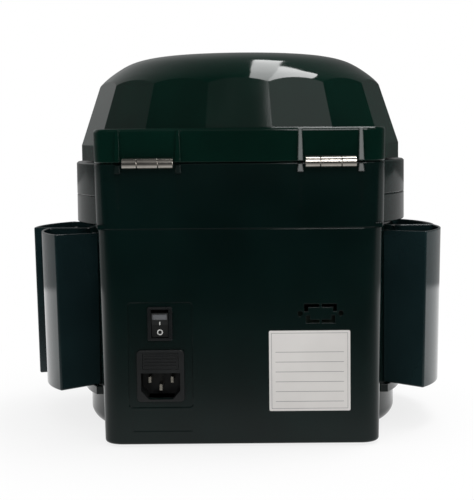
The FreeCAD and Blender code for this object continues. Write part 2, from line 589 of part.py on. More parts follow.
for dx, z, y1 in ((-7, 42.3, 105.0), (7, 42.3, 105.0), (0, 37.6, 106.0)):
    blade = box(INLET_X + dx - 1, INLET_X + dx + 1, 78, y1, z - 2, z + 2)
    inlet = inlet.cut(blade)
    blades.append(rounded(blade, 0.5, lambda e: all(abs(v.Y - y1) < 0.01 for v in e.Vertexes)))
emit("mains_inlet", inlet)
emit("inlet_pins", *blades)
drawer = box(INLET_X - 11, INLET_X + 11, 88, pad_y + 2.4, 49.6, 59.1)
ribs = [box(INLET_X - 10, INLET_X + 10, pad_y + 2, pad_y + 3, z, z + 0.9) for z in (50.8, 52.8, 54.8, 56.8)]
drawer = fused(drawer, *ribs)
drawer = drawer.cut(box(INLET_X - 10.1, INLET_X + 10.1, 93.5, 98.5, 54.4, 62))
drawer = drawer.cut(bar(2.5, INLET_X - 10.1, INLET_X + 10.1, 96.0, 54.4))
emit("fuse_drawer", drawer)
emit("fuse", bar(2.5, INLET_X - 10, INLET_X + 10, 96.0, 54.4))

bezel = box(INLET_X - 7.75, INLET_X + 7.75, pad_y, pad_y + 2.0, SWITCH_Z - 10.6, SWITCH_Z + 10.6)
bezel = rounded(bezel, 0.8, lambda e: any(v.Y > pad_y + 1 for v in e.Vertexes))
bezel = fused(bezel, box(INLET_X - 6.6, INLET_X + 6.6, 93, pad_y, SWITCH_Z - 9.6, SWITCH_Z + 9.6),
              *[box(INLET_X - 2.4, INLET_X + 2.4, 85, 93, SWITCH_Z + dz - 0.4, SWITCH_Z + dz + 0.4)
                for dz in (-5, 5)])
bezel = bezel.cut(box(INLET_X - 5.4, INLET_X + 5.4, 95, 120, SWITCH_Z - 8.9, SWITCH_Z + 8.9))
emit("switch_bezel", bezel)
rocker_y = BACK_Y - 2.6
profile = [(4.2, 7.9), (3.7, 4.0), (3.4, 0), (3.7, -4.0), (4.2, -7.9), (-4.0, -6.0), (-4.0, 6.0)]
rocker = slab([(rocker_y + y, SWITCH_Z + z) for y, z in profile], INLET_X - 5.1, INLET_X + 5.1)
rocker.rotate(V(INLET_X, rocker_y, SWITCH_Z), V(1, 0, 0), -10)
emit("switch_rocker", rocker)

supply = [box(-66, -4, 44, 84, 9, 10.6)]
supply += [cyl(2.5, BASE_Z1, 9, x, y) for x in (-62, -8) for y in (48, 80)]
supply += [box(-60, -32, 54, 80, 10.6, 36), cyl(6, 10.6, 38, -18, 56), cyl(5, 10.6, 30, -18, 70),
           box(-30, -14, 77, 83, 10.6, 22), box(-54, -26, 46, 50, 10.6, 30)]
emit("power_supply", fused(*supply))
main = [box(-74, -8, 98.5, 100.1, 44, 84)]
main += [post(2.5, 100.1, BACK_Y - COLUMN_WALL, x, z) for x in (-70, -12) for z in (48, 74)]
main += [box(-60, -46, 96.7, 98.5, 56, 70), box(-36, -28, 96.9, 98.5, 60, 66),
         box(-70, -64, 91, 98.5, 54, 70), box(-22, -14, 90, 98.5, 62, 78),
         box(-56, -30, 91, 98.5, 46, 52), post(4, 88, 98.5, -40, 76)]
emit("main_board", fused(*main))

# Front console: tilted face with a display and seven buttons
face_run = math.hypot(FACE_HIGH[0] - FACE_LOW[0], FACE_HIGH[1] - FACE_LOW[1])
face_up = V(0, (FACE_HIGH[0] - FACE_LOW[0]) / face_run, (FACE_HIGH[1] - FACE_LOW[1]) / face_run)
face_out = V(1, 0, 0).cross(face_up)
face_place = FreeCAD.Placement(FreeCAD.Matrix(1, face_up.x, face_out.x, 0,
                                              0, face_up.y, face_out.y, FACE_LOW[0],
                                              0, face_up.z, face_out.z, FACE_LOW[1],
                                              0, 0, 0, 1))


def on_face(shape):
    """Piece drawn with X across, Y up the slope and Z out of the face."""
    copy = shape.copy()
    copy.Placement = face_place.multiply(copy.Placement)
    return copy


def console_form(inset, side_view):
    """Side profile cut to a plan that narrows towards the front."""
    plan = [V(-84 + inset, -50, 130), V(84 - inset, -50, 130), V(CONSOLE_HALF - inset, -135, 130),
            V(-CONSOLE_HALF + inset, -135, 130)]
    return slab(side_view, -90, 90).common(prism(plan, V(0, 0, 60)))


w = CONSOLE_WALL
console = console_form(0, [(-50, 140.0), (-126, 140.0), FACE_LOW, FACE_HIGH, (-50, 176.5)])
console = rounded(console, 3.0, lambda e: all(v.Y < -100 for v in e.Vertexes))
inside = [(-40, 140.0 + w), (-125.2, 140.0 + w), (FACE_LOW[0] + 2.9, FACE_LOW[1] + 0.8),
          (FACE_HIGH[0] + 1.6, 176.5 - w), (-40, 176.5 - w)]
console = console.cut(console_form(w, inside))
console = console.cut(cyl(RING_R, 100, 200))
window = box(-55, -3, 7, 27, -1.6, 0)
console = console.cut(on_face(box(-55, -3, 7, 27, -6, 5)))
emit("display_window", on_face(window))
module = fused(box(-58, 0, 4, 30, -8.2, -6.6), box(-56, -2, 6, 28, -6.6, -3.2),
               box(-54, -4, 8, 26, -3.2, -1.6))
emit("display_module", on_face(module))

buttons = {"button_start": (50, 16.5, 12, 18), "button_clear": (8, 22, 9, 6), "button_add": (21, 22, 9, 6),
           "button_batch": (34, 22, 9, 6), "button_report": (8, 11, 9, 6), "button_plus": (21, 11, 9, 6),
           "button_minus": (34, 11, 9, 6)}
keypad = [box(2, 59, 4, 30, -11.6, -10)]
for name, (x, y, wide, tall) in buttons.items():
    console = console.cut(on_face(box(x - wide / 2 - 0.25, x + wide / 2 + 0.25, y - tall / 2 - 0.25,
                                      y + tall / 2 + 0.25, -6, 5)))
    key = box(x - wide / 2, x + wide / 2, y - tall / 2, y + tall / 2, -3.4, 1.3)
    key = rounded(key, 1.2, lambda e: abs(e.Vertexes[0].Z - e.Vertexes[1].Z) > 1)
    key = rounded(key, 0.5, lambda e: all(abs(v.Z - 1.3) < 0.01 for v in e.Vertexes))
    key = fused(key, box(x - wide / 2 - 1, x + wide / 2 + 1, y - tall / 2 - 1, y + tall / 2 + 1, -4.4, -3.4),
                box(x - 1.5, x + 1.5, y - 1.5, y + 1.5, -6, -4.4))
    emit(name, on_face(key))
    keypad.append(box(x - 3, x + 3, y - 3, y + 3, -10, -7.4))
emit("keypad_board", on_face(fused(*keypad)))
emit("front_console", console)
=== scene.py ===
import math

import bpy
import numpy as np
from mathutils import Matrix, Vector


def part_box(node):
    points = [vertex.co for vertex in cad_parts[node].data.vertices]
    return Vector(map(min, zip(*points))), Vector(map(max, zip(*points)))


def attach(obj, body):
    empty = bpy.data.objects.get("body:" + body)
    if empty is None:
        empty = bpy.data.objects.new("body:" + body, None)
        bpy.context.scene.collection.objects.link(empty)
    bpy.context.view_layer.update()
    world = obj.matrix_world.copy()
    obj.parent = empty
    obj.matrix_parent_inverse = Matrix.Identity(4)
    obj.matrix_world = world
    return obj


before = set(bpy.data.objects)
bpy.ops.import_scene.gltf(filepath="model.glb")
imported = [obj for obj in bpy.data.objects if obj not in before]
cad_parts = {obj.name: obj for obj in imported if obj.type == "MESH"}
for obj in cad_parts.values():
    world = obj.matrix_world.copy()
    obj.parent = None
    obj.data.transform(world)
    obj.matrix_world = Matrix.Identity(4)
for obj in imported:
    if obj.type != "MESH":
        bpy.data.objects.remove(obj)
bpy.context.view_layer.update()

# Base, drum and column: the body of the machine, moulded in polished black ABS with a green cast.
# The base plate closes it from below and is held by screws that go up into posts of the walls.
# The polish carries faint wiping marks, and the flat walls sink a little as mouldings do.


def shader_of(name):
    """New node material: returns it with its tree and its Principled shader."""
    material = bpy.data.materials.new(name)
    material.use_nodes = True
    return material, material.node_tree, material.node_tree.nodes["Principled BSDF"]


def add(tree, kind, **sockets):
    """Add one shader node and set its sockets, with spaces in their names written as underscores."""
    node = tree.nodes.new(kind)
    for socket, value in sockets.items():
        node.inputs[socket.replace("_", " ")].default_value = value
    return node


def noise(tree, scale, detail=2.0, stretch=(1.0, 1.0, 1.0)):
    """Noise over the piece's own coordinates, in features per metre, longer where stretch is small."""
    place = tree.nodes.new("ShaderNodeTexCoord")
    turn = add(tree, "ShaderNodeMapping", Scale=stretch)
    field = add(tree, "ShaderNodeTexNoise", Scale=scale, Detail=detail)
    tree.links.new(place.outputs["Object"], turn.inputs["Vector"])
    tree.links.new(turn.outputs["Vector"], field.inputs["Vector"])
    return field.outputs["Fac"]


NOISE_LOW, NOISE_HIGH = 0.3, 0.7


def spread(tree, field, low, high, socket):
    """Carry a field's middle range to the values low to high on a shader socket."""
    span = add(tree, "ShaderNodeMapRange", From_Min=NOISE_LOW, From_Max=NOISE_HIGH, To_Min=low, To_Max=high)
    tree.links.new(field, span.inputs["Value"])
    tree.links.new(span.outputs["Result"], socket)


def tint(tree, field, dark, light, socket):
    """Carry a field's middle range to a mix of two colours on a shader socket."""
    ramp = tree.nodes.new("ShaderNodeValToRGB")
    first, last = ramp.color_ramp.elements
    first.position = NOISE_LOW
    last.position = NOISE_HIGH
    first.color = (*dark, 1.0)
    last.color = (*light, 1.0)
    tree.links.new(field, ramp.inputs["Fac"])
    tree.links.new(ramp.outputs["Color"], socket)


def relief(tree, shader, *layers, edge=0.0003):
    """Bend the normal: edges are worn round to the radius edge, and layers of (field, depth in metres)
    lie on top, each on the one before."""
    worn = add(tree, "ShaderNodeBevel", Radius=edge)
    below = worn.outputs["Normal"]
    for field, depth in layers:
        bump = add(tree, "ShaderNodeBump", Distance=depth)
        tree.links.new(field, bump.inputs["Height"])
        tree.links.new(below, bump.inputs["Normal"])
        below = bump.outputs["Normal"]
    tree.links.new(below, shader.inputs["Normal"])


def scaled(colour, share):
    """Colour made darker or paler by a factor."""
    return tuple(share * c for c in colour)


def polished_moulding(name, colour, rough, ior):
    """Polished plastic: colour drifts slowly, wiping dulls the polish in long smears, and the
    surface bends with the sink of the wall (slow noise) and the skin of the tool (fine noise)."""
    material, tree, shader = shader_of(name)
    shader.inputs["IOR"].default_value = ior
    drift = noise(tree, 22.0, 3.0)
    tint(tree, drift, scaled(colour, 0.8), scaled(colour, 1.25), shader.inputs["Base Color"])
    smears = noise(tree, 38.0, 5.0, (1.0, 1.0, 0.25))
    spread(tree, smears, 0.7 * rough, 1.7 * rough, shader.inputs["Roughness"])
    relief(tree, shader, (noise(tree, 16.0), 0.00006), (noise(tree, 900.0), 0.0000018), edge=0.0008)
    return material


def dress(material, *names):
    """Give CAD nodes this finish."""
    for name in names:
        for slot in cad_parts[name].material_slots:
            slot.material = material


body_gloss = polished_moulding("body_black", (0.0018, 0.0068, 0.0060), 0.07, 1.42)
dress(body_gloss, "drum_housing", "exit_collar", "rear_housing", "upper_housing", "front_console")
base_satin = polished_moulding("base_black", (0.006, 0.008, 0.008), 0.28, 1.45)
dress(base_satin, "base_plate")

# Feet, lid bumpers and the coin wiper: soft black rubber, pressed into their seats.
# Rubber is dull, a little grey with dust, and finely grained.


def rubber(name, colour):
    """Dull rubber: blotches of dust lift its colour and fine noise grains it."""
    material, tree, shader = shader_of(name)
    tint(tree, noise(tree, 160.0, 4.0), colour, scaled(colour, 2.2), shader.inputs["Base Color"])
    spread(tree, noise(tree, 300.0), 0.6, 0.85, shader.inputs["Roughness"])
    relief(tree, shader, (noise(tree, 2500.0), 0.00002))
    return material


dress(rubber("rubber", (0.010, 0.011, 0.011)), "rubber_feet", "lid_bumpers", "coin_wiper")

# Case screws and the drive's bright steel: turned and zinc plated.
# Fine turning marks run round, so the polish is broken by streaks across the height.


def plated(name, colour, rough, stretch):
    """Plated metal: streaks of noise change its polish and cut fine lines, cloudy noise its colour."""
    material, tree, shader = shader_of(name)
    shader.inputs["Metallic"].default_value = 1.0
    tint(tree, noise(tree, 120.0, 3.0), scaled(colour, 0.86), colour, shader.inputs["Base Color"])
    streaks = noise(tree, 900.0, 3.0, stretch)
    spread(tree, streaks, 0.7 * rough, 1.4 * rough, shader.inputs["Roughness"])
    relief(tree, shader, (streaks, 0.000004))
    return material


bright_steel = plated("steel", (0.62, 0.62, 0.60), 0.28, (0.05, 0.05, 1.0))
dress(bright_steel, "case_screws", "drive_shaft", "shaft_bearings", "gear_motor", "motor_bracket")

# Hinges: two nickel-plated butt hinges, rolled from sheet round a pin.
# Their leaves lie in the seam and are held by countersunk screws.
nickel = plated("nickel", (0.80, 0.75, 0.68), 0.17, (0.04, 1.0, 1.0))
dress(nickel, "body_hinge_leaves", "lid_hinge_leaves", "hinge_pins", "body_hinge_screws", "lid_hinge_screws")

# Sorting works: a brushed steel plate under a plastic disc that carries the coins round.
# Grey glass-filled mouldings hold the plate, the chutes and the bearings; the gears are ivory acetal.


def moulded_grain(name, colour, rough, grain=1200.0):
    """Unpolished plastic: fine grain in the normal, slow drift of colour and patches of wear."""
    material, tree, shader = shader_of(name)
    tint(tree, noise(tree, 40.0, 3.0), scaled(colour, 0.85), colour, shader.inputs["Base Color"])
    spread(tree, noise(tree, 90.0, 3.0), 0.8 * rough, 1.2 * rough, shader.inputs["Roughness"])
    relief(tree, shader, (noise(tree, grain, 2.0), 0.000012))
    return material


disc_low, disc_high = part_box("feed_disc")
drum_x = (disc_low.x + disc_high.x) / 2
drum_y = (disc_low.y + disc_high.y) / 2


def turned_steel(name, colour):
    """Steel brushed in circles: noise along the distance from the drum's axis alone."""
    material, tree, shader = shader_of(name)
    shader.inputs["Metallic"].default_value = 1.0
    place = tree.nodes.new("ShaderNodeTexCoord")
    centre = add(tree, "ShaderNodeMapping", Location=(-drum_x, -drum_y, 0.0), Scale=(1.0, 1.0, 0.0))
    reach = tree.nodes.new("ShaderNodeVectorMath")
    reach.operation = "LENGTH"
    rings = add(tree, "ShaderNodeTexNoise", Scale=2500.0, Detail=3.0)
    rings.noise_dimensions = "1D"
    tree.links.new(place.outputs["Object"], centre.inputs["Vector"])
    tree.links.new(centre.outputs["Vector"], reach.inputs[0])
    tree.links.new(reach.outputs["Value"], rings.inputs["W"])
    field = rings.outputs["Fac"]
    tint(tree, noise(tree, 60.0, 3.0), scaled(colour, 0.88), colour, shader.inputs["Base Color"])
    spread(tree, field, 0.2, 0.42, shader.inputs["Roughness"])
    relief(tree, shader, (field, 0.000006))
    return material


dress(turned_steel("sorting_steel", (0.66, 0.66, 0.65)), "sorting_plate")
grey_moulding = moulded_grain("grey_plastic", (0.16, 0.165, 0.17), 0.5)
dress(grey_moulding, "chute_ring", "bearing_housing", "feed_disc", "disc_cap")
dress(moulded_grain("gear_plastic", (0.62, 0.58, 0.48), 0.38), "drive_gear", "motor_pinion")

# Boards: green glass-fibre laminate, lacquered, with tinned copper under the lacquer. Their green is painted
# much darker than a board's, as painted shade for the dark inside of the housing.
# They stand on posts behind the rear wall, under the sorting plate and behind the console.


def shade_darkened_board(name):
    """Laminate: a cell pattern draws lighter copper runs under the green lacquer, both darkened as painted
    shade.
    """
    material, tree, shader = shader_of(name)
    place = tree.nodes.new("ShaderNodeTexCoord")
    cells = add(tree, "ShaderNodeTexVoronoi", Scale=260.0)
    cells.distance = "CHEBYCHEV"
    cells.feature = "F2"
    tree.links.new(place.outputs["Object"], cells.inputs["Vector"])
    # Both colours are darker than a board's green: painted shade for the inside of the housing seen through
    # the rear wall's openings.
    shaded_lacquer, shaded_copper = (0.003, 0.014, 0.007), (0.008, 0.032, 0.015)
    tint(tree, cells.outputs["Distance"], shaded_lacquer, shaded_copper, shader.inputs["Base Color"])
    spread(tree, noise(tree, 200.0), 0.30, 0.46, shader.inputs["Roughness"])
    relief(tree, shader, (cells.outputs["Distance"], 0.00003))
    return material


dress(shade_darkened_board("board"), "main_board", "power_supply", "sensor_board", "keypad_board")
dark_moulding = moulded_grain("dark_plastic", (0.014, 0.015, 0.016), 0.42)
dress(dark_moulding, "coin_sensors", "display_module")

# Mains inlet and fuse drawer: black flame-proof nylon, clipped into the panel from behind.
# The moulding is satin, so it reads lighter than the polished wall. The pins are nickelled brass, and
# the drawer holds a glass fuse.
fitting_nylon = moulded_grain("fitting_black", (0.0075, 0.0090, 0.0095), 0.36, 1600.0)
dress(fitting_nylon, "mains_inlet", "fuse_drawer")
dress(plated("brass", (0.62, 0.58, 0.50), 0.24, (1.0, 0.05, 1.0)), "inlet_pins")


def see_through(name, colour, ior, cloud, rough):
    """Clear glass or plastic: noise of the scale cloud dulls its polish from rough to four times that."""
    material, tree, shader = shader_of(name)
    shader.inputs["Base Color"].default_value = (*colour, 1.0)
    shader.inputs["Transmission Weight"].default_value = 1.0
    shader.inputs["IOR"].default_value = ior
    spread(tree, noise(tree, cloud), rough, 4.0 * rough, shader.inputs["Roughness"])
    return material


dress(see_through("fuse_glass", (0.82, 0.85, 0.84), 1.5, 400.0, 0.02), "fuse")

# Rocker switch: a satin black rocker in a bezel that clips into the panel. A grey band at its raised end is
# a painted highlight, light falling on that end, and the two plain marks for on and off are print; all are
# filled into the face of the moulding.
dress(moulded_grain("bezel_black", (0.0050, 0.0065, 0.0072), 0.30, 1500.0), "switch_bezel")
dress(moulded_grain("rocker_grey", (0.0045, 0.0055, 0.0054), 0.34, 1500.0), "switch_rocker")
MM = 0.001
ROCKER_STATIONS = np.array([-7.9, -4.0, 0.0, 4.0, 7.9])
ROCKER_DEPTHS = np.array([4.2, 3.7, 3.4, 3.7, 4.2])
ROCKER_TILT = math.radians(-10.0)
PIVOT_BEHIND_BEZEL = 4.0
bezel_low, bezel_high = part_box("switch_bezel")
pivot = np.array([(bezel_low.x + bezel_high.x) / 2, bezel_high.y - PIVOT_BEHIND_BEZEL * MM,
                  (bezel_low.z + bezel_high.z) / 2])


def on_rocker(across, along, lift):
    """Point on the rocker's hollow face: its depth is interpolated between the face's stations,
    and the whole is turned about the pivot by the resting tilt. Sizes in millimetres."""
    depth = np.interp(along, ROCKER_STATIONS, ROCKER_DEPTHS) + lift
    y = depth * math.cos(ROCKER_TILT) - along * math.sin(ROCKER_TILT)
    z = depth * math.sin(ROCKER_TILT) + along * math.cos(ROCKER_TILT)
    return pivot + MM * np.stack([across, y, z], axis=-1)


def placed(name, points, faces, material, body):
    """New piece from points in metres and faces over them, riding on a body."""
    mesh = bpy.data.meshes.new(name)
    mesh.from_pydata(points, [], faces)
    mesh.materials.append(material)
    piece = bpy.data.objects.new(name, mesh)
    bpy.context.scene.collection.objects.link(piece)
    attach(piece, body)
    return piece


def lofted(name, points, material, body):
    """Mesh over a grid of points, rows by columns: each quad joins a point to the next row and column."""
    rows, columns = points.shape[:2]
    index = np.arange(rows * columns).reshape(rows, columns)
    quads = np.stack([index[:-1, :-1], index[:-1, 1:], index[1:, 1:], index[1:, :-1]], axis=-1)
    quads = quads.reshape(-1, 4).tolist()
    piece = placed(name, points.reshape(-1, 3).tolist(), quads, material, body)
    piece.data.polygons.foreach_set("use_smooth", [True] * len(quads))
    return piece


def thickened(piece, depth):
    """Give a sheet a wall that goes down from its face."""
    wall = piece.modifiers.new("wall", "SOLIDIFY")
    wall.thickness = depth
    wall.offset = -1.0
    return piece


def grid(low_u, high_u, low_v, high_v, count_u=9, count_v=9):
    """Two arrays over a rectangle of two parameters."""
    return np.meshgrid(np.linspace(low_u, high_u, count_u), np.linspace(low_v, high_v, count_v))


mark_white = moulded_grain("mark_white", (0.62, 0.62, 0.60), 0.45)
# The grey band on the rocker's raised end is a painted highlight: light falling on that end, painted as a
# paler colour.
painted_highlight_grey = moulded_grain("painted_highlight_grey", (0.100, 0.104, 0.112), 0.35)
MARK_LIFT = 0.06
MARK_DEPTH = 0.1 * MM
HIGHLIGHT_HALF, HIGHLIGHT_LOW, HIGHLIGHT_HIGH = 4.6, 3.3, 6.9
STROKE_HALF, STROKE_LOW, STROKE_HIGH = 0.32, -0.2, 2.0
RING_IN, RING_OUT, RING_MIDDLE = 1.15, 1.85, -4.7
# Painted highlight: a pale band across the raised end of the rocker's face.
across, along = grid(-HIGHLIGHT_HALF, HIGHLIGHT_HALF, HIGHLIGHT_LOW, HIGHLIGHT_HIGH)
highlight_points = on_rocker(-across, along, MARK_LIFT)
thickened(lofted("rocker_painted_highlight", highlight_points, painted_highlight_grey, "rocker"), MARK_DEPTH)
across, along = grid(-STROKE_HALF, STROKE_HALF, STROKE_LOW, STROKE_HIGH)
stroke_points = on_rocker(-across, along, MARK_LIFT)
thickened(lofted("rocker_on_mark", stroke_points, mark_white, "rocker"), MARK_DEPTH)
radius, turn = grid(RING_IN, RING_OUT, 0.0, 2 * math.pi, 3, 49)
ring_points = on_rocker(radius * np.cos(turn), RING_MIDDLE + radius * np.sin(turn), MARK_LIFT)
thickened(lofted("rocker_off_mark", ring_points, mark_white, "rocker"), MARK_DEPTH)

# Rating label: a square of satin white film stuck to the column.
# It is bare apart from a thin printed frame and the rules of an empty table.
label_low, label_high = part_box("rating_label")
FRAME_INSET, FRAME_HALF_WIDTH = 1.6 * MM, 0.13 * MM
RULE_INSET, RULE_WIDTH, RULE_PITCH = 4.0 * MM, 0.31 * MM, 6.2 * MM
RULES_TOP, RULES_BOTTOM = 13.5 * MM, -21.5 * MM
RULES_COUNTED_FROM = -100.0 * MM


def calc(tree, operation, *values):
    """Math node over sockets and plain numbers: returns its result."""
    node = tree.nodes.new("ShaderNodeMath")
    node.operation = operation
    for socket, value in zip(node.inputs, values):
        if isinstance(value, (int, float)):
            socket.default_value = value
        else:
            tree.links.new(value, socket)
    return node.outputs["Value"]


def ruled_film(name):
    """White film with a printed frame and level rules: the frame is drawn where the larger distance from
    the middle is close to its own, and a rule where the height is just past a whole number of pitches."""
    material, tree, shader = shader_of(name)
    shader.inputs["Roughness"].default_value = 0.42
    size = label_high.x - label_low.x
    place = tree.nodes.new("ShaderNodeTexCoord")
    centre = add(tree, "ShaderNodeMapping")
    centre.inputs["Location"].default_value = (-(label_low.x + label_high.x) / 2, 0.0,
                                               -(label_low.z + label_high.z) / 2)
    parts = tree.nodes.new("ShaderNodeSeparateXYZ")
    tree.links.new(place.outputs["Object"], centre.inputs["Vector"])
    tree.links.new(centre.outputs["Vector"], parts.inputs["Vector"])
    across, height = parts.outputs["X"], parts.outputs["Z"]
    beside = calc(tree, "ABSOLUTE", across)
    edge = calc(tree, "MAXIMUM", beside, calc(tree, "ABSOLUTE", height))
    frame_line = calc(tree, "COMPARE", edge, size / 2 - FRAME_INSET, FRAME_HALF_WIDTH)
    within = calc(tree, "LESS_THAN", beside, size / 2 - RULE_INSET)
    below = calc(tree, "LESS_THAN", height, RULES_TOP)
    above = calc(tree, "GREATER_THAN", height, RULES_BOTTOM)
    counted = calc(tree, "DIVIDE", calc(tree, "SUBTRACT", height, RULES_COUNTED_FROM), RULE_PITCH)
    rule = calc(tree, "LESS_THAN", calc(tree, "FRACT", counted), RULE_WIDTH / RULE_PITCH)
    table = calc(tree, "MULTIPLY", within, calc(tree, "MULTIPLY", below, above))
    ink = calc(tree, "MAXIMUM", frame_line, calc(tree, "MULTIPLY", rule, table))
    film = tree.nodes.new("ShaderNodeMix")
    film.data_type = "RGBA"
    ink_share, film_colour, ink_colour = film.inputs[0], film.inputs[6], film.inputs[7]
    printed_colour = film.outputs[2]
    tint(tree, noise(tree, 30.0, 3.0), (0.60, 0.58, 0.56), (0.65, 0.63, 0.61), film_colour)
    ink_colour.default_value = (0.20, 0.20, 0.21, 1.0)
    tree.links.new(ink, ink_share)
    tree.links.new(printed_colour, shader.inputs["Base Color"])
    relief(tree, shader, (noise(tree, 1500.0), 0.000006))
    return material


dress(ruled_film("label"), "rating_label")

# Hopper bowl and its floor: the funnel over the feed disc, moulded in the body's polished plastic.
# Its rim is the upper half of the ring, and it rests on the upper housing.
dress(body_gloss, "hopper_bowl", "hopper_floor")

# Lid: a faceted dome with a flat rear flange, in one polished moulding of the darkest green.
# It swings on the two hinges at its flange and shuts on to the rubber bumpers.
lid_gloss = polished_moulding("lid_black", (0.0007, 0.0104, 0.0068), 0.05, 1.45)
dress(lid_gloss, "hopper_lid")

# Coin cups: eight open wedges that hang round the drum, each drawn out by hand along its radius.
# They are moulded in a bluer black than the body, with a brighter polish.
cup_gloss = polished_moulding("cup_black", (0.0075, 0.0180, 0.0195), 0.045, 1.55)
dress(cup_gloss, *["coin_cup_%d" % k for k in range(1, 9)])

# Console: a tilted face with a clear acrylic window over the display and seven soft keys.
# The figures glow behind the window, and each key has a white sign printed on its cap. Places on the
# face are in millimetres across it and up its slope.
dress(see_through("window", (0.95, 0.97, 0.96), 1.49, 300.0, 0.01), "display_window")
key_rubber = moulded_grain("key_grey", (0.20, 0.205, 0.21), 0.55, 1800.0)
KEYS = {"start": (50, 16.5), "clear": (8, 22), "add": (21, 22), "batch": (34, 22), "report": (8, 11),
        "plus": (21, 11), "minus": (34, 11)}
dress(key_rubber, *["button_" + key for key in KEYS])
dress(moulded_grain("key_green", (0.03, 0.22, 0.07), 0.5, 1800.0), "button_start")
window_low, window_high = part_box("display_window")
window_middle = np.array((window_low + window_high) / 2)
WINDOW_ON_FACE = np.array([-29.0, 17.0, -0.8])
FACE_RUN, FACE_RISE = 10.0, 31.5
slope = math.atan2(FACE_RUN, FACE_RISE)
FACE_AXES = np.array([[1.0, 0.0, 0.0], [0.0, math.sin(slope), math.cos(slope)],
                      [0.0, -math.cos(slope), math.sin(slope)]])


def on_console(across, up, out):
    """Point on the tilted face, in millimetres across it, up its slope and out of it. In these the
    window's middle is WINDOW_ON_FACE, and the frame says where that is."""
    place = np.stack(np.broadcast_arrays(across, up, out), axis=-1) - WINDOW_ON_FACE
    return window_middle + MM * place @ FACE_AXES


def printed(name, outlines, out, material, body):
    """Flat printed marks: each outline is a ring of (across, up) points that becomes one face."""
    points = []
    faces = []
    for outline in outlines:
        faces.append(list(range(len(points), len(points) + len(outline))))
        points += on_console(*np.array(outline, dtype=float).T, out).tolist()
    return placed(name, points, faces, material, body)


def patch(x, y, wide, tall):
    """Rectangle about a point."""
    return [(x - wide / 2, y - tall / 2), (x + wide / 2, y - tall / 2),
            (x + wide / 2, y + tall / 2), (x - wide / 2, y + tall / 2)]


def lit_digits(text, x, y, tall):
    """Seven-segment figures: every segment is a bar with pointed ends, and each figure leans over by
    a tenth of its height."""
    lit = {"0": "abcdef", "1": "bc", "2": "abged", "3": "abgcd", "4": "fgbc", "5": "afgcd", "6": "afgedc",
           "7": "abc", "8": "abcdefg", "9": "abcdfg"}
    wide, half, pitch, lean = 0.52 * tall, 0.05 * tall, 0.82 * tall, 0.1
    ends = {"a": (0, 2, 1, 2), "b": (1, 1, 1, 2), "c": (1, 0, 1, 1), "d": (0, 0, 1, 0), "e": (0, 0, 0, 1),
            "f": (0, 1, 0, 2), "g": (0, 1, 1, 1)}
    outlines = []
    for place, figure in enumerate(text):
        for segment in lit[figure]:
            x0, y0, x1, y1 = ends[segment]
            low = np.array([x0 * wide, y0 * tall / 2])
            high = np.array([x1 * wide, y1 * tall / 2])
            along = (high - low) / np.hypot(*(high - low)) * half
            side = np.array([along[1], -along[0]])
            ring = [low + 1.2 * along, low + 2 * along + side, high - 2 * along + side, high - 1.2 * along,
                    high - 2 * along - side, low + 2 * along - side]
            outlines.append([(x + place * pitch + u + lean * v, y + v) for u, v in ring])
    return outlines


def glowing(name, colour, strength):
    """Lit display print: its own light, with a slight unevenness."""
    material, tree, shader = shader_of(name)
    shader.inputs["Base Color"].default_value = (0.0, 0.0, 0.0, 1.0)
    shader.inputs["Emission Color"].default_value = (*colour, 1.0)
    spread(tree, noise(tree, 900.0), 0.85 * strength, strength, shader.inputs["Emission Strength"])
    return material


DISPLAY_OUT, KEY_OUT = -1.55, 1.34
FIGURES_LEFT, FIGURES_FOOT, FIGURES_TALL = -42.0, 12.5, 9.0
display_green = glowing("display_green", (0.25, 0.95, 0.55), 1.2)
digits = lit_digits("1284", FIGURES_LEFT, FIGURES_FOOT, FIGURES_TALL)
printed("display_digits", digits, DISPLAY_OUT, display_green, "housing")
SIGNS = {"start": [[(-2.6, -3.6), (3.2, 0.0), (-2.6, 3.6)]],
         "clear": [patch(0, 0, 3.0, 0.55), patch(0, 1.3, 3.0, 0.55), patch(0, -1.3, 3.0, 0.55)],
         "add": [patch(-0.9, 0, 0.6, 2.6), patch(0.9, 0, 0.6, 2.6)],
         "batch": [patch(-1.5, 0, 0.9, 2.4), patch(0, 0, 0.9, 2.4), patch(1.5, 0, 0.9, 2.4)],
         "report": [patch(0, 0.8, 3.2, 0.6), patch(0, -0.8, 3.2, 0.6)],
         "plus": [patch(0, 0, 2.8, 0.7), patch(0, 1.05, 0.7, 1.4), patch(0, -1.05, 0.7, 1.4)],
         "minus": [patch(0, 0, 2.8, 0.7)]}
for key, (x, y) in KEYS.items():
    outlines = [[(x + u, y + v) for u, v in outline] for outline in SIGNS[key]]
    printed("sign_" + key, outlines, KEY_OUT, mark_white, key + "_key")

# Stage: a pale floor and a plain white backdrop, as the camera sees them. The polish of the machine
# sees a dimmer room instead: a table top that ends in a darker floor and darkens towards the camera,
# and a glow beyond the front on the +X side. Four soft lamps stand for windows and the room's light.
floor_mesh = bpy.data.meshes.new("floor")
FLOOR_HALF = 4.0
floor_mesh.from_pydata([(-FLOOR_HALF, -FLOOR_HALF, 0.0), (FLOOR_HALF, -FLOOR_HALF, 0.0),
                        (FLOOR_HALF, FLOOR_HALF, 0.0), (-FLOOR_HALF, FLOOR_HALF, 0.0)], [], [(0, 1, 2, 3)])
floor = bpy.data.objects.new("floor", floor_mesh)
bpy.context.scene.collection.objects.link(floor)


def ray_kinds(tree):
    """Two sockets: one for camera rays, and one for camera, glossy and transmitted rays."""
    path = tree.nodes.new("ShaderNodeLightPath")
    camera_ray = path.outputs["Is Camera Ray"]
    mirrored = calc(tree, "MAXIMUM", path.outputs["Is Glossy Ray"], path.outputs["Is Transmission Ray"])
    return camera_ray, calc(tree, "MAXIMUM", camera_ray, mirrored)


SHADOW_NEAR, SHADOW_FAR, SHADOW_SHARE = 0.10, 0.34, 0.20
TABLE_END, FLOOR_START = 0.76, 0.82
TABLE_LIGHT, FLOOR_LIGHT = 1.0, 0.38
TOWARDS_LIGHT, TOWARDS_FALL, TOWARDS_FROM = 0.52, 0.02, 0.1


